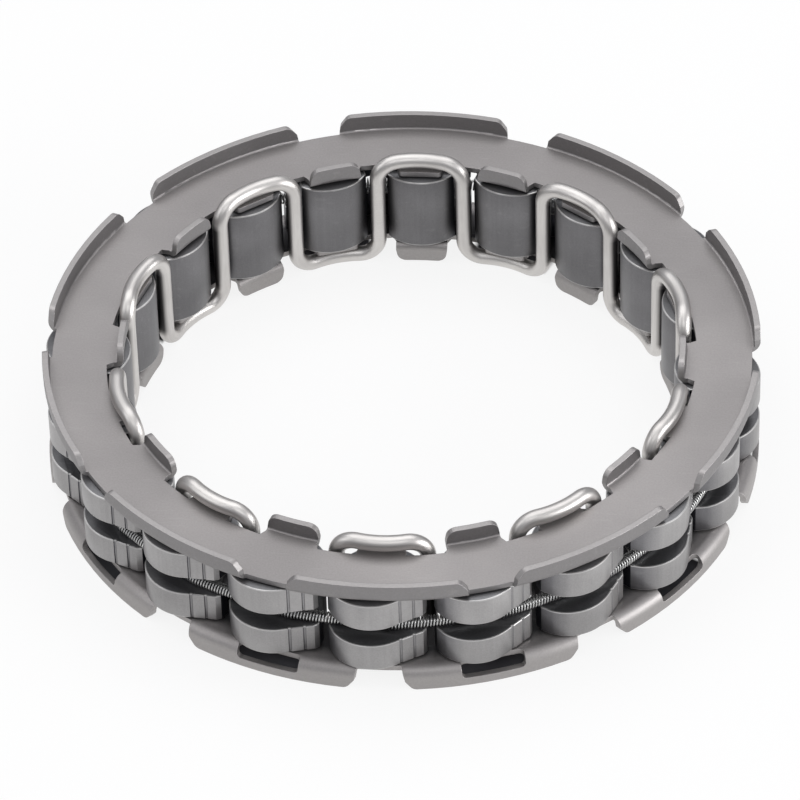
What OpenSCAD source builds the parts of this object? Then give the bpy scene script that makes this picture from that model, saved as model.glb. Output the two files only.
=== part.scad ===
// Sprag clutch insert: a ring of rocking wedges that fills the gap between a
// hub and the bore of an outer race. Two pressed plates hold the sprags by
// their ends, a serpentine wire spaces their feet and ties the plates
// together, and a garter spring in their slots presses them on both races.
// Lengths are in millimetres and +Z runs along the clutch's axis, with the
// origin at its middle. Sprag 1 stands at +Y and the others follow clockwise
// seen from above. Sections are drawn with Y outwards and X clockwise.

/* [Races] */
// Diameter of the hub that the sprags' feet run on
inner_race_d = 54.765; // [44:0.005:80]
// Gap between the hub and the bore of the outer race
race_gap = 8.33; // [7.8:0.01:9]

/* [Sprags] */
// Distance from sprag to sprag along the hub, which gives their even number
sprag_spacing = 8.6; // [8.5:0.01:8.8]
// Length of a sprag along the clutch's axis
sprag_len = 8.4; // [7.8:0.1:9]
// Play between a sprag's end and the plate beside it
axial_play = 0.2; // [0.1:0.05:0.4]
// Depth of the feet inside the hub's surface while no hub is in place
foot_reach = 0.28; // [0.15:0.01:0.35]
// Radius of the foot's curve
foot_r = 4.6; // [4.3:0.1:4.9]
// Sideways place of the centre of the foot's curve
foot_x = -0.1; // [-0.2:0.05:0.05]
// Width of the foot
foot_w = 6.86; // [6.5:0.02:7]
// Radius of the head's curve
head_r = 4.4; // [4.2:0.1:4.6]
// Sideways place of the centre of the head's curve
head_x = 0.9; // [0.8:0.05:1.1]
// Distance of the leading flank from the sprag's middle
lead_x = 4.95; // [4.7:0.05:5]
// Width of the chamfer at the leading corner, which is twice as long as wide
lead_chamfer = 0.5; // [0.2:0.05:0.7]
// Distance of the trailing flank from the sprag's middle
trail_x = 4.5; // [4.3:0.05:4.6]
// Slant of the shoulder behind the head's curve, in degrees
shoulder_slant = 30.5; // [28:0.5:33]
// Width of the chamfer under the shoulder's end
shoulder_chamfer = 0.3; // [0.2:0.05:0.4]
// Width of the waist
waist_w = 6.2; // [5.6:0.1:6.6]
// Radius of the hollow on each side of the waist
waist_r = 1.6; // [1.4:0.05:1.8]
// Distance of the waist from the hub's surface
waist_rise = 3.02; // [2.8:0.05:3.2]
// Places of the two grooves along the shoulder
groove_near = 2.15; // [1.9:0.05:2.4]
groove_far = 3.4; // [3.1:0.05:3.6]
// Radius and depth of a groove
groove_r = 0.16; // [0.14:0.01:0.3]
groove_depth = 0.11; // [0.05:0.01:0.12]

/* [Garter spring] */
// Distance of the coil's middle from the outer race's bore
garter_inset = 2.71; // [2.5:0.01:3]
// Outer diameter of the coil
coil_d = 1.2; // [1:0.05:1.4]
// Clearance between the coil and the crown of a sprag's slot
garter_play = 0.2; // [0.18:0.01:0.3]
// Height of the slot through a sprag's head
slot_h = 2.07; // [1.8:0.01:2.4]
// Radius of the crown on the slot's floor
slot_crown_r = 5; // [4.5:0.1:6]
// Sideways place of the crown, off the middle so that the spring tilts the sprag
slot_crown_x = -1.5; // [-2:0.1:0]
// Height of the slot's flat bed beside the crown, above the waist
slot_bed = 0.2; // [0.1:0.05:0.4]

/* [Plates] */
// Thickness of the sheet
sheet_t = 0.6; // [0.5:0.05:0.6]
// Inner radius of the bends
bend_r = 0.2; // [0.1:0.05:0.2]
// Outer radius of the lips' bends and of the tabs' bends
lip_round = 1.2; // [1:0.05:1.3]
tab_round = 0.9; // [0.8:0.05:1]
// Clearance between the lips and the outer race's bore
lip_play = 0.03; // [0.01:0.01:0.04]
// Clearance between the plates' flat edge and the outer race's bore
flange_play = 0.88; // [0.84:0.02:1.1]
// Clearance between the hub and the ring's edge beside the wire's legs
ring_play = 1.98; // [1.85:0.01:2.2]
// Spread of a lip's and a tab's foot on each side
foot_spread = 0.1; // [0.1:0.05:0.3]
// Height of a lip above the plate's face
lip_h = 1.8; // [1.6:0.05:2]
// Width of a lip at its base, and how far each side leans in up to its free edge
lip_base_w = 17.24; // [15:0.02:18.5]
lip_lean = 0.72; // [0.2:0.02:1]
// Radius of a lip's corners
lip_corner_r = 0.8; // [0.4:0.05:0.8]
// Width of the slot in a lower lip
lip_slot_w = 6.35; // [5:0.05:7.5]
// Height of the slot above the plate's face
lip_slot_h = 0.85; // [0.6:0.05:1]
// Radius of the slot's corners
lip_slot_r = 0.45; // [0.3:0.05:0.5]
// Clearance between a tab and the hub
tab_play = 0.26; // [0.15:0.01:0.4]
// Height of a tab above the plate's face
tab_h = 1.62; // [1.4:0.01:1.75]
// Width of a tab at its base, and how far each side leans in up to its free edge
tab_base_w = 5.1; // [4.9:0.02:5.6]
tab_lean = 0.18; // [0.1:0.02:0.6]
// Radius of a tab's corners
tab_corner_r = 1; // [0.4:0.05:1.1]
// Widening of a tab's root up to the ring, on each side
root_flare = 0.45; // [0.2:0.05:0.5]
// Clearance between a tongue's tip and the hub
tongue_play = 0.57; // [0.4:0.01:0.7]
// Width of a tongue at its root, and the lean of its sides at the tip
tongue_root_w = 4.8; // [4.5:0.05:5]
tongue_lean = 0.3; // [0.1:0.05:0.4]
// Length of the leaning part of a tongue's sides
tongue_neck = 0.9; // [0.6:0.05:1.1]
// Radius of a tongue's corners
tongue_corner_r = 0.4; // [0.3:0.05:0.6]

/* [Retaining wire] */
// Diameter of the wire
wire_d = 1.6; // [1.4:0.05:1.65]
// Clearance between the wire's legs and the hub
leg_play = 0.07; // [0.04:0.01:0.1]
// Radius of the bends at a loop's ends, along the wire's middle
wire_bend_r = 2.1; // [1.8:0.05:2.3]
// Clearance between a loop and the tongue under it
loop_play = 0.2; // [0.1:0.05:0.3]
// How much further out the middle of a loop lies than the legs
loop_bow = 0.45; // [0.35:0.05:0.7]

/* [Hidden] */
$fn = 96;
sprag_n = 2 * round(PI * inner_race_d / sprag_spacing / 2);
pitch = 360 / sprag_n;
inner_r = inner_race_d / 2;
outer_r = inner_r + race_gap;

// Plate faces: the inner one bears on the sprags, the outer one carries the loops
face_in = sprag_len / 2 + axial_play;
face_out = face_in + sheet_t;
lip_r = outer_r - lip_play;
flange_r = outer_r - flange_play;
ring_r = inner_r + ring_play;
tongue_r = inner_r + tongue_play;
tab_r = inner_r + tab_play;
lip_bend_at = lip_r - lip_round;
tab_bend_at = tab_r + tab_round;
lip_foot_w = lip_base_w + 2 * foot_spread;
tab_foot_w = tab_base_w + 2 * foot_spread;
tongue_tip_w = tongue_root_w - 2 * tongue_lean;

// Sprag section
foot_y = inner_r - foot_reach + foot_r;
head_y = sqrt(pow(outer_r - head_r, 2) - pow(head_x, 2));
waist_y = inner_r + waist_rise;
lead_top_x = lead_x - lead_chamfer;
lead_top_y = head_y + sqrt(pow(head_r, 2) - pow(lead_top_x - head_x, 2));
crest = [head_x, head_y] + head_r * [-sin(shoulder_slant), cos(shoulder_slant)];
garter_r = outer_r - garter_inset;
slot_crown_y = garter_r - coil_d / 2 - garter_play - slot_crown_r;
slot_root = waist_y + slot_bed;

// Retaining wire
leg_r = inner_r + leg_play + wire_d / 2;
leg_x = leg_r * sin(pitch / 2);
leg_y = leg_r * cos(pitch / 2);
loop_z = face_out + loop_play + wire_d / 2;
loop_y = leg_r + loop_bow;
loop_turn = 2 * atan((loop_y - leg_y) / (leg_x + wire_bend_r));
bow_r = (leg_x - wire_bend_r * cos(loop_turn)) / sin(loop_turn);
bow_y = loop_y - bow_r;
wire_sides = 10;
elbow_steps = 4;
bow_steps = 4;

// Reach of the cutting shapes past what they cut
over = 1;
arc_steps = 6;

function sprag_name(i) = str("sprag_", i < 10 ? "0" : "", i);

// Points of the arc of radius r that rounds corner b between a and c
function round_corner(a, b, c, r) =
    let(
        u = (a - b) / norm(a - b),
        v = (c - b) / norm(c - b),
        half = acos(u * v) / 2,
        middle = b + (u + v) / norm(u + v) * r / sin(half),
        first = b + u * r / tan(half) - middle,
        start = atan2(first.y, first.x),
        sweep = (cross(u, v) > 0 ? -1 : 1) * (180 - 2 * half)
    )
    [for (i = [0 : arc_steps])
        let(turn = start + sweep * i / arc_steps)
        middle + r * [cos(turn), sin(turn)]];

// Outline of points whose corners have the given radii, 0 for a sharp one
function rounded(points, radii) =
    let(n = len(points))
    [for (i = [0 : n - 1])
        each (radii[i] == 0
            ? [points[i]]
            : round_corner(points[(i + n - 1) % n], points[i], points[(i + 1) % n], radii[i]))];

// Places the children at every second sprag, from the given one on
module every_second(first) {
    for (i = [0 : 2 : sprag_n - 1])
        rotate([0, 0, -pitch * (first + i)])
            children();
}

// Stands a section in X and Z on the outer side of radius r, facing outwards
module outwards(r, depth) {
    translate([0, r + depth, 0])
        rotate([90, 0, 0])
            linear_extrude(depth)
                children();
}

// Section of a lip, bent up from the sheet: the flat ends at 0 and the outer face
// rises at round_r. The outer radius is more than the inner one and the sheet
// together, so the sheet thins in the bend.
module upturn_section(round_r, height) {
    top = face_out + height;
    corner = round_r - sheet_t - bend_r;
    difference() {
        union() {
            intersection() {
                translate([0, face_in + round_r])
                    circle(round_r);
                translate([0, face_in])
                    square(round_r);
            }
            translate([0, face_in + round_r])
                square([round_r, top - face_in - round_r]);
        }
        translate([-over, face_out])
            square([over + corner, height + over]);
        translate([-over, face_out + bend_r])
            square([over + corner + bend_r, height + over]);
        translate([corner, face_out + bend_r])
            circle(bend_r);
    }
}

// Face of a lip or a tab: its foot is spread as far as the bend, its sides lean in
// from one sheet above that, and its corners are rounded
module upturn_face(base_w, lean, height, corner_r) {
    top = face_out + height;
    foot_z = face_out + bend_r;
    base = base_w / 2;
    foot = base + foot_spread;
    edge = base - lean;
    polygon(rounded(
        [
            [foot, face_in - over],
            [foot, foot_z],
            [base, foot_z + sheet_t],
            [edge, top],
            [-edge, top],
            [-base, foot_z + sheet_t],
            [-foot, foot_z],
            [-foot, face_in - over]
        ],
        [0, 0, 0, corner_r, corner_r, 0, 0, 0]
    ));
}

// Lip seen from above: its foot narrows from the middle of the sheet out past the bore
module lip_outline() {
    base = lip_base_w / 2;
    foot = lip_foot_w / 2;
    edge_y = sqrt(pow(lip_r - sheet_t / 2, 2) - pow(foot, 2));
    polygon([
        [-foot, 0],
        [foot, 0],
        [foot, edge_y],
        [base, edge_y + sheet_t],
        [base, outer_r + over],
        [-base, outer_r + over],
        [-base, edge_y + sheet_t],
        [-foot, edge_y]
    ]);
}

module lip() {
    intersection() {
        rotate_extrude()
            translate([lip_bend_at, 0])
                upturn_section(lip_round, lip_h);
        outwards(lip_bend_at - lip_base_w / 4, lip_base_w)
            upturn_face(lip_base_w, lip_lean, lip_h, lip_corner_r);
        linear_extrude(face_out + lip_h + over)
            lip_outline();
    }
}

module tab() {
    intersection() {
        rotate_extrude()
            translate([tab_bend_at, 0])
                mirror([1, 0])
                    upturn_section(tab_round, tab_h);
        outwards(tab_r - over, tab_round + 2 * over)
            upturn_face(tab_base_w, tab_lean, tab_h, tab_corner_r);
    }
}

// Tongue under a loop of the wire, and the flared root of a tab
module tongue_outline() {
    polygon(rounded(
        [
            [tongue_tip_w / 2, tongue_r],
            [tongue_root_w / 2, tongue_r + tongue_neck],
            [tongue_root_w / 2, ring_r + over],
            [-tongue_root_w / 2, ring_r + over],
            [-tongue_root_w / 2, tongue_r + tongue_neck],
            [-tongue_tip_w / 2, tongue_r]
        ],
        [tongue_corner_r, 0, 0, 0, 0, tongue_corner_r]
    ));
}

module tab_root_outline() {
    half = tab_foot_w / 2;
    difference() {
        polygon([
            [half, tab_bend_at - over],
            [half, tab_bend_at],
            [half + root_flare, ring_r],
            [half + root_flare, ring_r + over],
            [-half - root_flare, ring_r + over],
            [-half - root_flare, ring_r],
            [-half, tab_bend_at],
            [-half, tab_bend_at - over]
        ]);
        circle(tab_bend_at);
    }
}

// Flat of a plate: the ring up to its edge, cut back to the bend at each lip
module flat_outline() {
    difference() {
        union() {
            difference() {
                circle(flange_r);
                circle(ring_r);
            }
            every_second(0)
                tongue_outline();
            every_second(1)
                tab_root_outline();
        }
        every_second(0)
            difference() {
                translate([-lip_foot_w / 2, 0])
                    square([lip_foot_w, flange_r + over]);
                circle(lip_bend_at);
            }
    }
}

// Plate with its lips and tongues in line with sprag 1 and its tabs between
module plate() {
    translate([0, 0, face_in])
        linear_extrude(sheet_t)
            flat_outline();
    every_second(0)
        lip();
    every_second(1)
        tab();
}

// Slot through the foot of a lip, rounded at its corners on both faces
module lip_slot() {
    half = lip_slot_w / 2;
    intersection() {
        outwards(lip_bend_at, lip_round + over)
            polygon(rounded(
                [
                    [half, face_in - over],
                    [half, face_out + lip_slot_h],
                    [-half, face_out + lip_slot_h],
                    [-half, face_in - over]
                ],
                [0, lip_slot_r, lip_slot_r, 0]
            ));
        translate([0, 0, face_in - over])
            linear_extrude(sheet_t + lip_h + over)
                polygon(rounded(
                    [
                        [half, lip_bend_at],
                        [half, lip_r + over],
                        [-half, lip_r + over],
                        [-half, lip_bend_at]
                    ],
                    [lip_slot_r, 0, 0, lip_slot_r]
                ));
    }
}

module upper_plate() {
    color([0.64, 0.63, 0.62])
        plate();
}

module lower_plate() {
    color([0.60, 0.59, 0.58])
        rotate([0, 0, -pitch])
            mirror([0, 0, 1])
                difference() {
                    plate();
                    every_second(0)
                        lip_slot();
                }
}

// Points round the wire. Its slope is 0 up a leg, 90 along a loop and 180 down
// the next leg, and side is 1 for a loop above the clutch and -1 for one below.
// The ring turns a little on its way to a leg, where two loops meet.
function across(azimuth) = [sin(azimuth), cos(azimuth), 0];
function inwards(azimuth, slope) =
    [cos(azimuth) * cos(slope), -sin(azimuth) * cos(slope), -sin(slope)];
function wire_ring(middle, azimuth, slope, side) =
    let(twist = (loop_turn - pitch / 2) * abs(cos(slope)))
    [for (k = [0 : wire_sides - 1])
        let(turn = twist + side * k * 360 / wire_sides)
        middle + wire_d / 2 * (cos(turn) * across(azimuth) + sin(turn) * inwards(azimuth, slope))];

// Bend between a leg and a loop, hand being 1 on the clockwise side
function elbow_ring(hand, slope, side) =
    wire_ring(
        [
            hand * (leg_x - wire_bend_r * cos(loop_turn)),
            leg_y + wire_bend_r * sin(loop_turn),
            loop_z - wire_bend_r
        ] - wire_bend_r * inwards(hand * loop_turn, slope),
        hand * loop_turn, slope, side
    );

// Loop over one tongue: a bow between two bends
function loop_rings(side) = concat(
    [for (j = [0 : elbow_steps]) elbow_ring(-1, 90 * j / elbow_steps, side)],
    [for (j = [1 : bow_steps - 1])
        let(azimuth = loop_turn * (2 * j / bow_steps - 1))
        wire_ring([0, bow_y, loop_z] + bow_r * across(azimuth), azimuth, 90, side)],
    [for (j = [0 : elbow_steps]) elbow_ring(1, 90 + 90 * j / elbow_steps, side)]
);

// Point of a loop at its place on the clutch, the loops below being mirrored
function placed(p, turn, side) =
    [p.x * cos(turn) + p.y * sin(turn), p.y * cos(turn) - p.x * sin(turn), side * p.z];

// One wire from loop to loop, alternately above and below, closed on itself
module retaining_wire() {
    rings = [for (i = [0 : sprag_n - 1])
        let(side = i % 2 == 0 ? 1 : -1)
        each [for (ring = loop_rings(side))
            [for (p = ring) placed(p, pitch * i, side)]]];
    n = len(rings);
    color([0.80, 0.78, 0.75])
        polyhedron(
            points = [for (ring = rings) each ring],
            faces = [for (j = [0 : n - 1], k = [0 : wire_sides - 1])
                let(
                    this = j * wire_sides,
                    next = (j + 1) % n * wire_sides,
                    beside = (k + 1) % wire_sides
                )
                [this + k, this + beside, next + beside, next + k]]
        );
}

// Closed coil spring, drawn as the ring that its outside fills
module garter_spring() {
    color([0.78, 0.78, 0.76])
        rotate_extrude()
            translate([garter_r, 0])
                circle(d = coil_d);
}

// Section between the waist's hollows, with the head's and the foot's curves
module sprag_outline() {
    half = foot_w / 2;
    corner_y = crest.y - (crest.x + trail_x) * tan(shoulder_slant);
    chamfer_y = shoulder_chamfer * tan(shoulder_slant);
    difference() {
        union() {
            polygon([
                [half, foot_y - sqrt(pow(foot_r, 2) - pow(half - foot_x, 2))],
                [half, waist_y],
                [lead_x, waist_y],
                [lead_x, lead_top_y - 2 * lead_chamfer],
                [lead_top_x, lead_top_y],
                crest,
                [shoulder_chamfer - trail_x, corner_y + chamfer_y],
                [-trail_x, corner_y - shoulder_chamfer],
                [-trail_x, waist_y],
                [-half, waist_y],
                [-half, foot_y - sqrt(pow(foot_r, 2) - pow(half + foot_x, 2))]
            ]);
            intersection() {
                translate([head_x, head_y])
                    circle(head_r);
                translate([crest.x, head_y])
                    square([lead_top_x - crest.x, head_r + over]);
            }
            intersection() {
                translate([foot_x, foot_y])
                    circle(foot_r);
                translate([-half, foot_y - foot_r - over])
                    square([foot_w, foot_r]);
            }
        }
        for (side = [-1, 1])
            translate([side * (waist_w / 2 + waist_r), waist_y])
                circle(waist_r);
        for (along = [groove_near, groove_far])
            translate([
                -along,
                crest.y - (crest.x + along) * tan(shoulder_slant)
                    + (groove_r - groove_depth) / cos(shoulder_slant)
            ])
                circle(groove_r);
    }
}

// Slot for the garter spring, with a crowned floor so that the sprag can rock
module garter_slot_outline() {
    difference() {
        translate([-lead_x - over, slot_root])
            square([2 * (lead_x + over), outer_r - slot_root + over]);
        translate([slot_crown_x, slot_crown_y])
            circle(slot_crown_r);
    }
}

module sprag() {
    difference() {
        linear_extrude(sprag_len, center = true)
            sprag_outline();
        linear_extrude(slot_h, center = true)
            garter_slot_outline();
    }
}

upper_plate();
lower_plate();
retaining_wire();
garter_spring();
for (i = [1 : sprag_n])
    color([0.40, 0.40, 0.42])
            rotate([0, 0, -pitch * (i - 1)])
                sprag();
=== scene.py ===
import math

import bmesh
import bpy
import numpy as np
from mathutils import Matrix, Vector


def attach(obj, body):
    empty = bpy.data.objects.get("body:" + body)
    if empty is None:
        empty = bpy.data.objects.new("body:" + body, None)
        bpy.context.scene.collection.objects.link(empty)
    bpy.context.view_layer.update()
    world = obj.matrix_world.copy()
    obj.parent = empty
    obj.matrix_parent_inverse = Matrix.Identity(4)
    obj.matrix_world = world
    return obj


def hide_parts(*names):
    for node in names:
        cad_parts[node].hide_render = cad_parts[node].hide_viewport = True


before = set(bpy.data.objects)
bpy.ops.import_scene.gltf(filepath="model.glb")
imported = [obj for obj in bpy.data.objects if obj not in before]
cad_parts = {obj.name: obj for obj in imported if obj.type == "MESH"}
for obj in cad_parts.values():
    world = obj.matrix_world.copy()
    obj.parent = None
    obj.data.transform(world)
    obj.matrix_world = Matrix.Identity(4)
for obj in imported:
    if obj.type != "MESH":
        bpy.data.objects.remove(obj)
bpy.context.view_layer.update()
mm = 0.001
spragCount = 20
pitchDeg = 360 / spragCount
print("frame loaded")


cameraView = {
    "distance": 0.6034,        # from the middle of the upper plate's face
    "faceHeight": 5.0 * mm,
    "elevation": 41.544,
    "turn": 4.98,              # degrees it stands to the right of straight ahead
    "roll": -1.713,
    "lens": 272.98,
    "sensorWidth": 36,
    "clip": (0.01, 20),
    "middlePixel": (401.61, 352.63),
    "imageWidth": 800,
}


def makeCamera(v):
    data = bpy.data.cameras.new("camera")
    data.lens, data.sensor_width = v["lens"], v["sensorWidth"]
    data.clip_start, data.clip_end = v["clip"]
    cam = bpy.data.objects.new("camera", data)
    bpy.context.scene.collection.objects.link(cam)
    turn, rise, roll = (math.radians(v[k]) for k in ("turn", "elevation", "roll"))
    side = Vector((math.cos(turn), math.sin(turn), 0))
    towards = Vector((
        math.sin(turn) * math.cos(rise), -math.cos(turn) * math.cos(rise), math.sin(rise)))
    up = towards.cross(side)
    right = side * math.cos(roll) + up * math.sin(roll)
    up = up * math.cos(roll) - side * math.sin(roll)
    # the axis is tipped so that the face's middle lands on its pixel without any shift
    half = v["imageWidth"] / 2
    focal = v["lens"] / v["sensorWidth"] * v["imageWidth"]
    across, down = v["middlePixel"]
    back = towards * focal + right * (across - half) + up * (half - down)
    back.normalize()
    right = up.cross(back).normalized()
    up = back.cross(right)
    place = Vector((0, 0, v["faceHeight"])) + towards * v["distance"]
    cam.matrix_world = Matrix((
        (right.x, up.x, back.x, place.x),
        (right.y, up.y, back.y, place.y),
        (right.z, up.z, back.z, place.z),
        (0, 0, 0, 1)))
    bpy.context.scene.camera = cam


makeCamera(cameraView)
print("camera set")


def addNode(tree, kind, **settings):
    made = tree.nodes.new(kind)
    for key, value in settings.items():
        setattr(made, key, value)
    return made


def wire(tree, source, target):
    tree.links.new(source, target)


def mathNode(tree, operation, first, second=None, clamp=False):
    made = addNode(tree, "ShaderNodeMath", operation=operation, use_clamp=clamp)
    for socket, value in zip(made.inputs, (first, second)):
        if value is None:
            continue
        if isinstance(value, (int, float)):
            socket.default_value = value
        else:
            wire(tree, value, socket)
    return made.outputs[0]


def mixColour(tree, amount, first, second, blend="MIX"):
    made = addNode(tree, "ShaderNodeMix", data_type="RGBA", blend_type=blend)
    for place, value in zip((0, 6, 7), (amount, first, second)):
        socket = made.inputs[place]
        if isinstance(value, (int, float)):
            socket.default_value = value
        elif isinstance(value, tuple):
            socket.default_value = (*value, 1)
        else:
            wire(tree, value, socket)
    return made.outputs[2]


# Maps a span of values onto two limits and stays at them outside it. A span whose
# first value is the larger one falls instead of rising.
def ranged(tree, value, span, low=0, high=1):
    made = addNode(tree, "ShaderNodeMapRange")
    wire(tree, value, made.inputs["Value"])
    for name, number in zip(("From Min", "From Max", "To Min", "To Max"), (*span, low, high)):
        made.inputs[name].default_value = number
    return made.outputs[0]


def times(tree, *values):
    product = values[0]
    for value in values[1:]:
        product = mathNode(tree, "MULTIPLY", product, value)
    return product


def addShare(tree, base, value, share):
    return mathNode(tree, "ADD", base, times(tree, value, share))


def noiseAt(tree, coordinates, scale, detail=2.0, rough=0.5):
    made = addNode(tree, "ShaderNodeTexNoise")
    made.inputs["Scale"].default_value = scale
    made.inputs["Detail"].default_value = detail
    made.inputs["Roughness"].default_value = rough
    wire(tree, coordinates, made.inputs["Vector"])
    return made.outputs["Fac"]


def partsOf(tree, vector):
    apart = addNode(tree, "ShaderNodeSeparateXYZ")
    wire(tree, vector, apart.inputs[0])
    return apart.outputs


# Distance from the clutch's axis
def axisDistance(tree, x, y):
    square = mathNode(tree, "ADD", mathNode(tree, "POWER", x, 2.0), mathNode(tree, "POWER", y, 2.0))
    return mathNode(tree, "SQRT", square)


def newGroup(name, inputs, outputs):
    group = bpy.data.node_groups.new(name, "ShaderNodeTree")
    for way, sockets in (("INPUT", inputs), ("OUTPUT", outputs)):
        for label, kind in sockets:
            group.interface.new_socket(label, in_out=way, socket_type="NodeSocket" + kind)
    return group, addNode(group, "NodeGroupInput"), addNode(group, "NodeGroupOutput")


# The middle part of a noise, where nearly all of its values lie
noiseSpan = (0.35, 0.65)
wideSpan = (0.3, 0.7)
tumbling = {
    "cloudDetail": 4, "grainDetail": 3, "grainRoughness": 0.6, "markDetail": 1,
    "markTurns": ((0.3, 0.1, 0.6), (-0.2, 0.4, 2.1)), "markScale": (260, 2600, 1300),
    "markSpan": (0.68, 0.76),
}
# how the painted highlight on the chamfers is broken up
rimHighlightBreakup = {"scale": 700, "detail": 3, "span": (0.3, 0.6), "least": 0.55}


# Tumbled metal: broad clouds of tone, a fine speckle and short hairline marks
def makeTumbledGroup(v):
    group, enter, leave = newGroup(
        "tumbledMetal", [("Vector", "Vector"), ("Cloud Scale", "Float"), ("Grain Scale", "Float")],
        [("Cloud", "Float"), ("Grain", "Float"), ("Marks", "Float")])
    cloud = addNode(group, "ShaderNodeTexNoise")
    cloud.inputs["Detail"].default_value = v["cloudDetail"]
    grain = addNode(group, "ShaderNodeTexNoise")
    grain.inputs["Detail"].default_value = v["grainDetail"]
    grain.inputs["Roughness"].default_value = v["grainRoughness"]
    for noise, scale in ((cloud, "Cloud Scale"), (grain, "Grain Scale")):
        wire(group, enter.outputs["Vector"], noise.inputs["Vector"])
        wire(group, enter.outputs[scale], noise.inputs["Scale"])
    marks = []
    for turn in v["markTurns"]:
        bend = addNode(group, "ShaderNodeMapping")
        bend.inputs["Rotation"].default_value = turn
        bend.inputs["Scale"].default_value = v["markScale"]
        wire(group, enter.outputs["Vector"], bend.inputs["Vector"])
        streaks = noiseAt(group, bend.outputs[0], 1, v["markDetail"])
        marks.append(ranged(group, streaks, v["markSpan"]))
    wire(group, cloud.outputs["Fac"], leave.inputs["Cloud"])
    wire(group, grain.outputs["Fac"], leave.inputs["Grain"])
    wire(group, mathNode(group, "MAXIMUM", *marks), leave.inputs["Marks"])
    return group


# Rims: the chamfers that a piece carries as an attribute, brightened with a painted highlight that
# is broken up a little by noise
def makeRimGroup(v):
    group, enter, leave = newGroup("brightRim", [("Vector", "Vector")], [("Rim", "Float")])
    rim = addNode(group, "ShaderNodeAttribute", attribute_name="rim")
    breakUp = noiseAt(group, enter.outputs["Vector"], v["scale"], v["detail"])
    patchy = ranged(group, breakUp, v["span"], v["least"], 1)
    shown = mathNode(group, "MULTIPLY", rim.outputs["Fac"], patchy, clamp=True)
    wire(group, shown, leave.inputs["Rim"])
    return group


tumbledGroup = makeTumbledGroup(tumbling)
rimGroup = makeRimGroup(rimHighlightBreakup)


def startMaterial(name):
    material = bpy.data.materials.new(name)
    material.use_nodes = True
    tree = material.node_tree
    tree.nodes.clear()
    shader = addNode(tree, "ShaderNodeBsdfPrincipled")
    out = addNode(tree, "ShaderNodeOutputMaterial")
    wire(tree, shader.outputs[0], out.inputs["Surface"])
    spot = addNode(tree, "ShaderNodeTexCoord")
    return material, tree, shader, spot.outputs["Object"]


def useGroup(tree, group, coordinates, **values):
    made = addNode(tree, "ShaderNodeGroup", node_tree=group)
    wire(tree, coordinates, made.inputs["Vector"])
    for name, value in values.items():
        made.inputs[name.replace("_", " ")].default_value = value
    return made.outputs


def bumpOf(tree, height, shader, strength, distance, normal=None):
    bump = addNode(tree, "ShaderNodeBump")
    if normal:
        wire(tree, normal, bump.inputs["Normal"])
    bump.inputs["Strength"].default_value = strength
    bump.inputs["Distance"].default_value = distance
    wire(tree, height, bump.inputs["Height"])
    wire(tree, bump.outputs[0], shader.inputs["Normal"])


def finishShader(tree, shader, colour, rough, metallic):
    wire(tree, colour, shader.inputs["Base Color"])
    wire(tree, rough, shader.inputs["Roughness"])
    shader.inputs["Metallic"].default_value = metallic


def shaded(tree, colour, amount):
    shade = addNode(tree, "ShaderNodeCombineColor")
    for k in range(3):
        wire(tree, amount, shade.inputs[k])
    return mixColour(tree, 1.0, colour, shade.outputs[0], "MULTIPLY")


def mixShare(tree, mask, share, colour, other):
    return mixColour(tree, times(tree, mask, share), colour, other)


# The roughness goes up and down a little with the clouds of tone
def cloudedRoughness(tree, cloud, f):
    more, less = f["roughnessSwing"]
    return ranged(tree, cloud, wideSpan, f["roughness"] + more, f["roughness"] - less)


# Where a point stands on the clutch and how its face looks: the distance from the axis
# and from the middle plane, and the parts of the normal that point away from the axis,
# round it (counterclockwise from above) and along it
def ringPlace(tree, coordinates):
    x, y, z = partsOf(tree, coordinates)
    facing = addNode(tree, "ShaderNodeNewGeometry")
    normalX, normalY, normalZ = partsOf(tree, facing.outputs["Normal"])
    radius = axisDistance(tree, x, y)
    outwards = mathNode(tree, "ADD", times(tree, x, normalX), times(tree, y, normalY))
    sideways = mathNode(tree, "SUBTRACT", times(tree, x, normalY), times(tree, y, normalX))
    return {
        "radius": radius,
        "z": z,
        "height": mathNode(tree, "ABSOLUTE", z),
        "outwards": mathNode(tree, "DIVIDE", outwards, radius),
        "sideways": mathNode(tree, "DIVIDE", sideways, radius),
        "flat": mathNode(tree, "ABSOLUTE", normalZ),
    }


# A normal that is smoothed over the edges, and a mask of where it leaves the face's own
def roundedEdges(tree, radius, gain, samples):
    rounded = addNode(tree, "ShaderNodeBevel", samples=samples)
    rounded.inputs["Radius"].default_value = radius
    face = addNode(tree, "ShaderNodeNewGeometry")
    both = addNode(tree, "ShaderNodeVectorMath", operation="DOT_PRODUCT")
    wire(tree, rounded.outputs[0], both.inputs[0])
    wire(tree, face.outputs["Normal"], both.inputs[1])
    apart = mathNode(tree, "SUBTRACT", 1.0, both.outputs["Value"])
    return rounded.outputs[0], mathNode(tree, "MULTIPLY", apart, gain, clamp=True)


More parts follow.
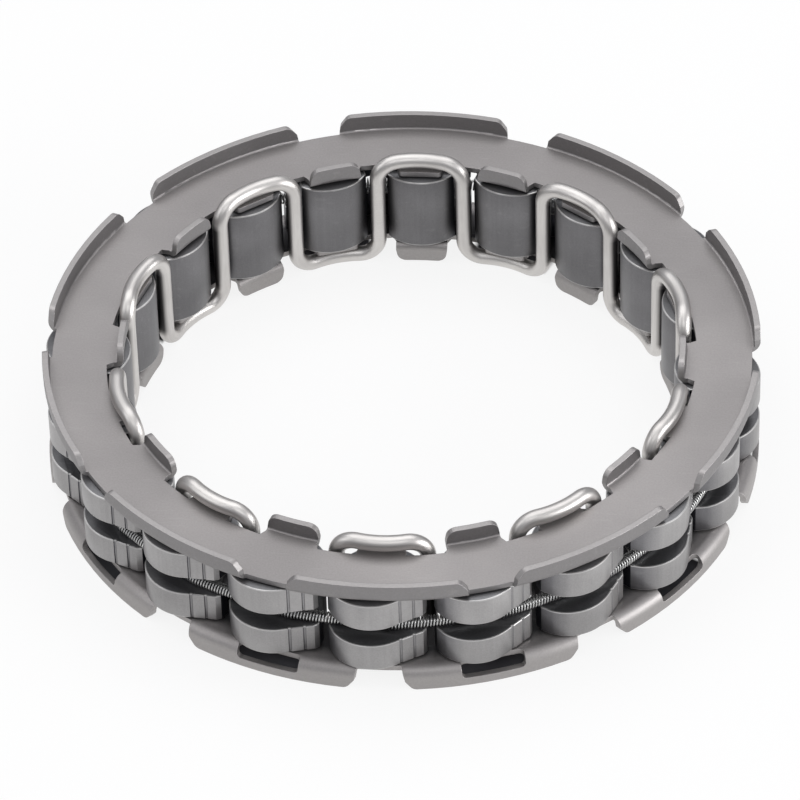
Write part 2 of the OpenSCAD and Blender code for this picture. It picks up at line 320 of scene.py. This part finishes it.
# Spans of heights and radii are in metres, spans of the normal's parts from 0 to 1
plateFinish = {
    "light": (0.376, 0.357, 0.353), "dark": (0.331, 0.315, 0.312), "grainTone": (0.95, 1.04),
    "upperSideShaded": (0.252, 0.243, 0.244), "lowerSideShaded": (0.365, 0.349, 0.343),
    "sideToFlat": (0.3, 0.9), "rim": (0.50, 0.485, 0.48), "markShare": 0.1,
    "edgeRadius": 0.09 * mm, "edgeGain": 3.0, "edgeSamples": 6, "edgeShare": 0.6,
    # inside: the colour of the painted shade on the faces towards the sprags
    "inside": (0.085, 0.083, 0.086), "insideHeights": (4.5 * mm, 4.45 * mm),
    "insideRadii": (34.0 * mm, 32.8 * mm), "flats": (0.8, 0.95),
    "endHeights": (5.9 * mm, 6.0 * mm), "upright": (0.75, 0.6), "crosswise": (0.35, 0.2),
    "cutShare": 0.4, "roughness": 0.50, "roughnessSwing": (0.05, 0.05), "metallic": 0.85,
    "cloudScale": 60, "grainScale": 5200, "grainBump": 0.10, "bumpDepth": 0.02 * mm,
    "markDepth": -0.5,
}


def makePlateMaterial(name, side, f):
    material, tree, shader, spot = startMaterial(name)
    tumbled = useGroup(tree, tumbledGroup, spot, Cloud_Scale=f["cloudScale"],
                       Grain_Scale=f["grainScale"])
    edgeNormal, edgeMask = roundedEdges(tree, f["edgeRadius"], f["edgeGain"], f["edgeSamples"])
    ring = ringPlace(tree, spot)
    colour = mixColour(tree, ranged(tree, tumbled["Cloud"], noiseSpan), f["dark"], f["light"])
    # painted shade: upright faces take a darker side colour than the flat faces, set apart for each
    # plate
    colour = mixColour(tree, ranged(tree, ring["flat"], f["sideToFlat"]), side, colour)
    # painted shade: the face towards the sprags, which the sprags shade, is darkened up to its
    # outer rim
    flats = ranged(tree, ring["flat"], f["flats"])
    insideShade = times(tree, ranged(tree, ring["height"], f["insideHeights"]), flats,
                   ranged(tree, ring["radius"], f["insideRadii"]))
    colour = mixColour(tree, insideShade, colour, f["inside"])
    # the sheared ends and sides of the lips and tabs are brighter than the sheet's faces
    ends = times(tree, ranged(tree, ring["height"], f["endHeights"]), flats)
    sides = times(tree, ranged(tree, ring["flat"], f["upright"]),
                  ranged(tree, mathNode(tree, "ABSOLUTE", ring["outwards"]), f["crosswise"]))
    colour = mixShare(tree, mathNode(tree, "MAXIMUM", ends, sides), f["cutShare"], colour, f["rim"])
    colour = shaded(tree, colour, ranged(tree, tumbled["Grain"], noiseSpan, *f["grainTone"]))
    colour = mixShare(tree, tumbled["Marks"], f["markShare"], colour, f["rim"])
    # painted highlight along the rounded edges
    colour = mixShare(tree, edgeMask, f["edgeShare"], colour, f["rim"])
    rough = cloudedRoughness(tree, tumbled["Cloud"], f)
    finishShader(tree, shader, colour, rough, f["metallic"])
    relief = addShare(tree, tumbled["Grain"], tumbled["Marks"], f["markDepth"])
    bumpOf(tree, relief, shader, f["grainBump"], f["bumpDepth"], edgeNormal)
    return material


spragFinish = {
    "outer": (0.350, 0.342, 0.342), "inner": (0.185, 0.182, 0.188),
    "headRadii": (29.2 * mm, 31.4 * mm), "end": (0.17, 0.17, 0.176), "ends": (0.85, 0.98),
    "flank": (0.092, 0.093, 0.108), "flanks": (0.62, 0.36), "waistInner": (28.3 * mm, 28.8 * mm),
    "waistOuter": (33.0 * mm, 32.6 * mm), "waistFacing": (0.6, 0.4),
    "roundSide": (-0.35, -0.75), "roundShare": 0.6, "roundFacing": (0.1, 0.3), "grooveShare": 0.35,
    "rim": (0.50, 0.495, 0.49), "markShare": 0.06,
    "lineScale": (2600, 2600, 60), "lineDetail": 3, "lineRoughness": 0.6,
    "cloudTone": 0.07, "lineTone": 0.03, "grainTone": (0.94, 1.05),
    "halves": (-1.5 * mm, 1.5 * mm), "halfTone": (0.89, 1.05),
    "roughness": 0.40, "roughnessSwing": (0.06, 0.04), "rimRoughness": 0.34, "metallic": 0.92,
    "cloudScale": 150, "grainScale": 6500, "grainBump": 0.08, "bumpDepth": 0.02 * mm,
    "lineDepth": 0.8,
}


def makeSpragMaterial(f):
    material, tree, shader, spot = startMaterial("spragSteel")
    tumbled = useGroup(tree, tumbledGroup, spot, Cloud_Scale=f["cloudScale"],
                       Grain_Scale=f["grainScale"])
    rim = useGroup(tree, rimGroup, spot)["Rim"]
    # painted shade: the feet are darker than the heads, so the tone follows the radius
    ring = ringPlace(tree, spot)
    colour = mixColour(tree, ranged(tree, ring["radius"], f["headRadii"]), f["inner"], f["outer"])
    # painted shade: the flanks and the hollows of the waist, which lie between the sprags, are
    # darkened; the end faces get a darker colour of their own
    flank = ranged(tree, mathNode(tree, "ABSOLUTE", ring["outwards"]), f["flanks"])
    waist = times(tree, ranged(tree, ring["radius"], f["waistInner"]),
                  ranged(tree, ring["radius"], f["waistOuter"]),
                  ranged(tree, ring["outwards"], f["waistFacing"]))
    ends = ranged(tree, ring["flat"], f["ends"])
    dark = times(tree, mathNode(tree, "MAXIMUM", flank, waist), mathNode(tree, "SUBTRACT", 1, ends))
    colour = mixColour(tree, dark, colour, f["flank"])
    # painted shade: the rounded side of each head is darkened too
    rounded = times(tree, ranged(tree, ring["sideways"], f["roundSide"], 0, f["roundShare"]),
                    ranged(tree, ring["outwards"], f["roundFacing"]))
    colour = mixColour(tree, rounded, colour, f["flank"])
    colour = mixColour(tree, ends, colour, f["end"])
    # painted shade in the two grooves of the shoulder
    groove = addNode(tree, "ShaderNodeAttribute", attribute_name="groove")
    colour = mixShare(tree, groove.outputs["Fac"], f["grooveShare"], colour, f["flank"])
    # drawing lines run along the clutch's axis on the curved faces
    stretch = addNode(tree, "ShaderNodeMapping")
    stretch.inputs["Scale"].default_value = f["lineScale"]
    wire(tree, spot, stretch.inputs["Vector"])
    lines = noiseAt(tree, stretch.outputs[0], 1, f["lineDetail"], f["lineRoughness"])
    tone = ranged(tree, tumbled["Grain"], noiseSpan, *f["grainTone"])
    tone = addShare(tree, tone, ranged(tree, tumbled["Cloud"], noiseSpan, -1, 1), f["cloudTone"])
    tone = addShare(tree, tone, ranged(tree, lines, noiseSpan, -1, 1), f["lineTone"])
    # painted light: the upper halves are a little brighter than the lower ones
    tone = times(tree, tone, ranged(tree, ring["z"], f["halves"], *f["halfTone"]))
    colour = shaded(tree, colour, tone)
    colour = mixShare(tree, tumbled["Marks"], f["markShare"], colour, f["rim"])
    # painted highlight on the chamfers
    colour = mixColour(tree, rim, colour, f["rim"])
    polish = times(tree, rim, f["roughness"] - f["rimRoughness"])
    rough = mathNode(tree, "SUBTRACT", cloudedRoughness(tree, tumbled["Cloud"], f), polish)
    finishShader(tree, shader, colour, rough, f["metallic"])
    relief = addShare(tree, tumbled["Grain"], lines, f["lineDepth"])
    bumpOf(tree, relief, shader, f["grainBump"], f["bumpDepth"])
    return material


# wireCoords: the cosine of the turn round the wire, the run along it in millimetres and
# the sine of the turn
wireFinish = {
    "light": (0.67, 0.65, 0.63), "dark": (0.56, 0.54, 0.525),
    "legShade": (0.07, 0.067, 0.066), "legShadeHeights": (4.4 * mm, 3.6 * mm),
    "legShadeSide": (-0.8, -0.25), "legShadeShare": 0.9,
    "lineScale": (9, 0.25, 1), "lineDetail": 4, "lineRoughness": 0.65, "lineShare": 0.6,
    "cloudScale": 140, "cloudDetail": 3, "cloudShare": 0.4, "toneSpan": (0.35, 0.62),
    "roughness": 0.42, "roughnessSwing": (0.06, 0.05), "metallic": 1.0,
    "grainScale": 3000, "grainDetail": 2, "grainDepth": 0.4, "bump": 0.12, "bumpDepth": 0.01 * mm,
}


def makeWireMaterial(f):
    material, tree, shader, spot = startMaterial("springWire")
    along = addNode(tree, "ShaderNodeAttribute", attribute_name="wireCoords")
    stretch = addNode(tree, "ShaderNodeMapping")
    stretch.inputs["Scale"].default_value = f["lineScale"]
    wire(tree, along.outputs["Vector"], stretch.inputs["Vector"])
    lines = noiseAt(tree, stretch.outputs[0], 1, f["lineDetail"], f["lineRoughness"])
    cloud = noiseAt(tree, spot, f["cloudScale"], f["cloudDetail"])
    grain = noiseAt(tree, spot, f["grainScale"], f["grainDetail"])
    tone = addShare(tree, times(tree, lines, f["lineShare"]), cloud, f["cloudShare"])
    colour = mixColour(tree, ranged(tree, tone, f["toneSpan"]), f["dark"], f["light"])
    # painted shade on the legs' outer sides, between the sprags
    height = mathNode(tree, "ABSOLUTE", partsOf(tree, spot)[2])
    side = partsOf(tree, along.outputs["Vector"])[0]
    legShade = times(tree, ranged(tree, height, f["legShadeHeights"]), ranged(tree, side, f["legShadeSide"]))
    colour = mixShare(tree, legShade, f["legShadeShare"], colour, f["legShade"])
    finishShader(tree, shader, colour, cloudedRoughness(tree, cloud, f), f["metallic"])
    relief = addShare(tree, lines, grain, f["grainDepth"])
    bumpOf(tree, relief, shader, f["bump"], f["bumpDepth"])
    return material


coilFinish = {
    "light": (0.66, 0.66, 0.65), "dark": (0.44, 0.44, 0.44), "cloudScale": 260, "cloudDetail": 3,
    "roughness": 0.30, "roughnessSwing": (0.08, 0.04), "metallic": 1.0,
}


def makeCoilMaterial(f):
    material, tree, shader, spot = startMaterial("coilWire")
    cloud = noiseAt(tree, spot, f["cloudScale"], f["cloudDetail"])
    colour = mixColour(tree, ranged(tree, cloud, noiseSpan), f["dark"], f["light"])
    finishShader(tree, shader, colour, cloudedRoughness(tree, cloud, f), f["metallic"])
    return material


# the two sheets share one finish and differ only in the painted shade of their upright faces
plateMaterials = {
    "upper_plate": makePlateMaterial("upperSheet", plateFinish["upperSideShaded"], plateFinish),
    "lower_plate": makePlateMaterial("lowerSheet", plateFinish["lowerSideShaded"], plateFinish),
}
spragMaterial = makeSpragMaterial(spragFinish)
wireMaterial = makeWireMaterial(wireFinish)
coilMaterial = makeCoilMaterial(coilFinish)
print("materials made")


def linked(name, mesh, material, body, slotName, *nodes):
    piece = bpy.data.objects.new(name, mesh)
    bpy.context.scene.collection.objects.link(piece)
    mesh.materials.clear()
    mesh.materials.append(material)
    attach(piece, body)
    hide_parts(*nodes)


# Lengths in millimetres, angles in degrees, with the sprag turned back to +Y
shoulder = {
    "crest": (-1.3332, 35.0907), "slant": 30.5, "grooves": (2.15, 3.4), "reach": 0.2, "depth": 0.11,
    "levelNormal": 0.3,
}


# How deep each face lies in one of the two grooves of a sprag's shoulder: the depth is
# the shoulder's line minus the face's middle, as a share of the groove's own depth
def grooveDepth(mesh, turn, v):
    middle = np.empty(len(mesh.polygons) * 3, np.float32)
    normal = np.empty_like(middle)
    mesh.polygons.foreach_get("center", middle)
    mesh.polygons.foreach_get("normal", normal)
    x, y = middle.reshape(-1, 3).T[:2] / mm
    level = np.abs(normal.reshape(-1, 3)[:, 2]) < v["levelNormal"]
    across = x * math.cos(turn) - y * math.sin(turn)
    out = x * math.sin(turn) + y * math.cos(turn)
    line = v["crest"][1] + (across - v["crest"][0]) * math.tan(math.radians(v["slant"]))
    near = np.min([np.abs(across + place) for place in v["grooves"]], axis=0) < v["reach"]
    depth = (line - out) * math.cos(math.radians(v["slant"]))
    inside = (depth > 0) & (depth < 2 * v["depth"])
    return np.where(level & near & inside, np.clip(depth / v["depth"], 0, 1), 0)


spragEdges = {
    "width": 0.13 * mm, "segments": 2, "mergeWithin": 0.0005 * mm, "levelWithin": 0.01 * mm,
    "flatAngle": 0.3, "sharpAngle": 40, "smoothAngle": 24,
}


# A copy of a node with its doubles merged and its flat faces joined, chamfered along
# the edges of its end faces and its slot. The chamfers' faces get 1 in the attribute rim.
def chamferedCopy(node, v):
    work = bmesh.new()
    work.from_mesh(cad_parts[node].data)
    bmesh.ops.remove_doubles(work, verts=work.verts, dist=v["mergeWithin"])
    bmesh.ops.dissolve_limit(work, angle_limit=math.radians(v["flatAngle"]), verts=work.verts,
                             edges=work.edges, delimit=set())
    weight = work.edges.layers.float.new("bevel_weight_edge")
    sharp = math.radians(v["sharpAngle"])
    for edge in work.edges:
        level = abs(edge.verts[0].co.z - edge.verts[1].co.z) < v["levelWithin"]
        if level and len(edge.link_faces) == 2 and edge.calc_face_angle() > sharp:
            edge[weight] = 1
    mesh = bpy.data.meshes.new(node + "Chamfered")
    work.to_mesh(mesh)
    work.free()
    for old in list(mesh.attributes):
        if old.name.startswith("custom_normal") or old.name == "sharp_face":
            mesh.attributes.remove(old)
    mesh.materials.clear()
    mesh.materials.append(None)
    mesh.materials.append(None)
    mesh.polygons.foreach_set("material_index", np.zeros(len(mesh.polygons), np.int32))
    holder = bpy.data.objects.new(node + "Holder", mesh)
    bpy.context.scene.collection.objects.link(holder)
    bevel = holder.modifiers.new("chamfer", "BEVEL")
    bevel.width, bevel.segments = v["width"], v["segments"]
    bevel.limit_method = "WEIGHT"
    bevel.use_clamp_overlap = False
    bevel.material = 1
    seen = holder.evaluated_get(bpy.context.evaluated_depsgraph_get())
    made = bpy.data.meshes.new_from_object(seen)
    bpy.data.objects.remove(holder)
    index = np.empty(len(made.polygons), np.int32)
    made.polygons.foreach_get("material_index", index)
    rim = made.attributes.new("rim", "FLOAT", "FACE")
    rim.data.foreach_set("value", (index == 1).astype(np.float32))
    made.polygons.foreach_set("material_index", np.zeros(len(index), np.int32))
    made.polygons.foreach_set("use_smooth", np.ones(len(index), bool))
    made.set_sharp_from_angle(angle=math.radians(v["smoothAngle"]))
    return made


for number in range(1, spragCount + 1):
    node = "sprag_%02d" % number
    mesh = chamferedCopy(node, spragEdges)
    depth = grooveDepth(mesh, math.radians(pitchDeg * (number - 1)), shoulder)
    held = mesh.attributes.new("groove", "FLOAT", "FACE")
    held.data.foreach_set("value", depth.astype(np.float32))
    linked("spragChamfered%02d" % number, mesh, spragMaterial, node, "sprag_steel", node)
print("sprags finished")

for node, material in plateMaterials.items():
    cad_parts[node].data.materials.clear()
    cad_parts[node].data.materials.append(material)
print("plates finished")


# Puts a closed tube into a mesh: rings of points along a path that ends where it
# starts, given as an array of rings by sides by 3
def closedTube(name, rings):
    count, sides = rings.shape[:2]
    here = np.arange(count)[:, None] * sides
    there = np.roll(np.arange(count), -1)[:, None] * sides
    side = np.arange(sides)[None, :]
    beside = (side + 1) % sides
    faces = np.stack([here + side, there + side, there + beside, here + beside], -1).reshape(-1, 4)
    mesh = bpy.data.meshes.new(name)
    mesh.from_pydata(rings.reshape(-1, 3).tolist(), [], faces.tolist())
    mesh.polygons.foreach_set("use_smooth", np.ones(len(mesh.polygons), bool))
    return mesh


# Lengths in millimetres
retainingWire = {
    "hubRadius": 27.3825, "play": 0.07, "thickness": 1.6, "bendRadius": 2.1, "bow": 0.45,
    "faceHeight": 5.0, "lift": 0.2, "elbowSteps": 14, "bowSteps": 16, "sides": 28,
}


# The wire's middle line runs up a leg, through a quarter bend, along a bow, through a
# quarter bend and down the next leg, alternately over the upper and under the lower
# plate. A ring round it is the middle plus half the thickness times
# cos(turn) across + sin(turn) inwards, both at right angles to the wire.
def makeWire(v):
    half = v["thickness"] / 2
    legRadius = v["hubRadius"] + v["play"] + half
    step = math.radians(pitchDeg / 2)
    legX, legY = legRadius * math.sin(step), legRadius * math.cos(step)
    loopZ = v["faceHeight"] + v["lift"] + half
    bend = v["bendRadius"]
    swing = 2 * math.atan((legRadius + v["bow"] - legY) / (legX + bend))
    bowRadius = (legX - bend * math.cos(swing)) / math.sin(swing)
    bowY = legRadius + v["bow"] - bowRadius
    quarter = np.linspace(0, math.pi / 2, v["elbowSteps"] + 1)
    along = np.linspace(-swing, swing, v["bowSteps"] + 1)[1:-1]
    slope = np.concatenate([quarter, np.full(len(along), math.pi / 2), quarter + math.pi / 2])
    azimuth = np.concatenate([np.full(len(quarter), -swing), along, np.full(len(quarter), swing)])
    across = np.stack([np.sin(azimuth), np.cos(azimuth), np.zeros_like(azimuth)], -1)
    inwards = np.stack(
        [np.cos(azimuth) * np.cos(slope), -np.sin(azimuth) * np.cos(slope), -np.sin(slope)], -1)
    hand = np.sign(azimuth)[:, None]
    pivot = np.array([legX - bend * math.cos(swing), legY + bend * math.sin(swing), loopZ - bend])
    ones = np.ones_like(hand)
    elbow = pivot * np.concatenate([hand, ones, ones], 1) - bend * inwards
    middleBow = np.array([0, bowY, loopZ]) + bowRadius * across
    isBow = np.zeros(len(azimuth), bool)
    isBow[len(quarter):len(quarter) + len(along)] = True
    middle = np.where(isBow[:, None], middleBow, elbow)
    twist = (swing - step) * np.abs(np.cos(slope))
    run = np.concatenate([[0], np.cumsum(np.linalg.norm(np.diff(middle, axis=0), axis=1))])
    loopRun = run[-1] + 2 * (loopZ - bend)
    rings, coords = [], []
    for loop in range(spragCount):
        side = 1 if loop % 2 == 0 else -1
        turns = side * np.arange(v["sides"]) * 2 * math.pi / v["sides"] + twist[:, None]
        cosine, sine = np.cos(turns), np.sin(turns)
        ring = middle[:, None] + half * (
            cosine[..., None] * across[:, None] + sine[..., None] * inwards[:, None])
        turned = -math.radians(pitchDeg * loop)
        c, s = math.cos(turned), math.sin(turned)
        rings.append(ring @ np.array([[c, -s, 0], [s, c, 0], [0, 0, side]]).T)
        coords.append(np.stack(np.broadcast_arrays(
            cosine, (run + loop * loopRun)[:, None], sine), -1))
    mesh = closedTube("retainingWire", np.concatenate(rings) * mm)
    held = mesh.attributes.new("wireCoords", "FLOAT_VECTOR", "POINT")
    held.data.foreach_set("vector", np.concatenate(coords).reshape(-1).astype(np.float32))
    return mesh


linked("serpentineWire", makeWire(retainingWire), wireMaterial, "cage", "wire_steel",
       "retaining_wire")

# Lengths in millimetres
garterSpring = {
    "ringRadius": 33.0025, "coilDiameter": 1.2, "wireDiameter": 0.19, "turns": 680,
    "stepsPerTurn": 12, "sides": 5, "sag": 0.3, "crownPlace": -1.5, "drop": 0.36,
}


# The ring that the coil follows runs straight from crown to crown, so its radius is
# a crown's divided by the cosine of the angle from the chord's middle, with its mean
# kept. The coil's middle line is a helix round that ring: at ring angle u it lies at
# radius ring + coil cos(turns u) and height coil sin(turns u), less the drop by which
# it hangs in the slots.
def makeCoil(v):
    count = v["turns"] * v["stepsPerTurn"]
    u = np.arange(count) * 2 * math.pi / count
    phase = v["turns"] * u
    coil = (v["coilDiameter"] - v["wireDiameter"]) / 2
    pitch = math.radians(pitchDeg)
    crown = math.pi / 2 + math.atan2(-v["crownPlace"], v["ringRadius"])
    fromChord = np.mod(u - crown, pitch) - pitch / 2
    sag = 1 / np.cos(fromChord) - 1
    sag = v["sag"] * (sag - sag.mean()) / np.ptp(sag)
    radius = v["ringRadius"] + sag + coil * np.cos(phase)
    middle = np.stack(
        [radius * np.cos(u), radius * np.sin(u), coil * np.sin(phase) - v["drop"]], -1)
    ahead = np.roll(middle, -1, 0) - np.roll(middle, 1, 0)
    ahead /= np.linalg.norm(ahead, axis=1)[:, None]
    fromRing = np.stack([np.cos(phase) * np.cos(u), np.cos(phase) * np.sin(u), np.sin(phase)], -1)
    other = np.cross(ahead, fromRing)
    other /= np.linalg.norm(other, axis=1)[:, None]
    fromRing = np.cross(other, ahead)
    turns = np.arange(v["sides"]) * 2 * math.pi / v["sides"]
    cosine, sine = np.cos(turns)[None, :, None], np.sin(turns)[None, :, None]
    around = cosine * fromRing[:, None] + sine * other[:, None]
    return closedTube("garterCoil", (middle[:, None] + v["wireDiameter"] / 2 * around) * mm)


linked("garterCoil", makeCoil(garterSpring), coilMaterial, "cage", "spring_steel", "garter_spring")
print("wire and spring wound")


stageLook = {
    "floorHeight": -6.82 * mm, "floorSize": 6.0, "floorColour": (0.86, 0.86, 0.86),
    "whitening": 0.85, "glow": 1.0,
    "shadeColour": (0.10, 0.10, 0.11), "shadeInner": (29.5 * mm, 29.1 * mm),
    "shadeOuter": (34.7 * mm, 35.1 * mm), "shadeTurn": (0.3, 0.1),
    "skyColour": (0.94, 0.95, 1.0), "skyStrength": 0.38,
}
lamps = [
    # name, place, size and power; all of them aim at the clutch's middle
    ("overhead", (-0.06, 0.20, 0.62), (0.90, 0.66), 2.85),
    ("front", (0.04, -0.46, 0.58), (0.50, 0.30), 0.8),
    ("leftWindow", (-0.62, -0.20, 0.42), (0.45, 0.45), 0.85),
    ("rightFill", (0.68, -0.16, 0.17), (0.50, 0.40), 3.9),
]


# 1 on open paper and 0 in the deep shade behind each of the ten lower lips, the first
# of which stands at +X. The wave is 1 at the middle of each lip and -1 between two.
def clearOfLips(tree, v):
    spot = addNode(tree, "ShaderNodeTexCoord")
    x, y, _ = partsOf(tree, spot.outputs["Object"])
    radius = axisDistance(tree, x, y)
    inside, outside = (ranged(tree, radius, v[k]) for k in ("shadeInner", "shadeOuter"))
    turn = mathNode(tree, "ARCTAN2", y, x)
    wave = mathNode(tree, "COSINE", mathNode(tree, "MULTIPLY", turn, spragCount / 2))
    between = ranged(tree, wave, v["shadeTurn"])
    return mathNode(tree, "MAXIMUM", mathNode(tree, "MAXIMUM", inside, outside), between)


# The open paper is whitened for the camera and in reflections
def whitened(tree, base, strength, amount, clear):
    path = addNode(tree, "ShaderNodeLightPath")
    seen = mathNode(tree, "MAXIMUM", path.outputs["Is Camera Ray"], path.outputs["Is Glossy Ray"])
    seen = mathNode(tree, "MAXIMUM", seen, path.outputs["Is Transmission Ray"])
    share = times(tree, seen, amount, clear)
    glow = addNode(tree, "ShaderNodeEmission")
    glow.inputs["Strength"].default_value = strength
    mix = addNode(tree, "ShaderNodeMixShader")
    wire(tree, share, mix.inputs[0])
    wire(tree, base, mix.inputs[1])
    wire(tree, glow.outputs[0], mix.inputs[2])
    return mix.outputs[0]


def makeStage(v):
    half = v["floorSize"] / 2
    mesh = bpy.data.meshes.new("floor")
    corners = [(-half, -half), (half, -half), (half, half), (-half, half)]
    mesh.from_pydata([(*corner, v["floorHeight"]) for corner in corners], [], [(0, 1, 2, 3)])
    floor = bpy.data.objects.new("floor", mesh)
    bpy.context.scene.collection.objects.link(floor)
    material = bpy.data.materials.new("floorPaper")
    material.use_nodes = True
    tree = material.node_tree
    tree.nodes.clear()
    paper = addNode(tree, "ShaderNodeBsdfDiffuse")
    clear = clearOfLips(tree, v)
    wire(tree, mixColour(tree, clear, v["shadeColour"], v["floorColour"]), paper.inputs["Color"])
    out = addNode(tree, "ShaderNodeOutputMaterial")
    seen = whitened(tree, paper.outputs[0], v["glow"], v["whitening"], clear)
    wire(tree, seen, out.inputs["Surface"])
    mesh.materials.append(material)

    world = bpy.data.worlds.new("studio")
    bpy.context.scene.world = world
    world.use_nodes = True
    tree = world.node_tree
    tree.nodes.clear()
    sky = addNode(tree, "ShaderNodeBackground")
    sky.inputs["Color"].default_value = (*v["skyColour"], 1)
    sky.inputs["Strength"].default_value = v["skyStrength"]
    out = addNode(tree, "ShaderNodeOutputWorld")
    wire(tree, sky.outputs[0], out.inputs["Surface"])


def makeLamps(rows):
    for name, place, size, power in rows:
        data = bpy.data.lights.new(name, "AREA")
        data.shape, data.size, data.size_y, data.energy = "RECTANGLE", size[0], size[1], power
        lamp = bpy.data.objects.new(name, data)
        bpy.context.scene.collection.objects.link(lamp)
        lamp.location = place
        lamp.rotation_euler = (-Vector(place)).to_track_quat("-Z", "Y").to_euler()


makeStage(stageLook)
makeLamps(lamps)
bpy.context.scene.view_settings.view_transform = "Standard"
print("stage lit")

bpy.context.view_layer.update()
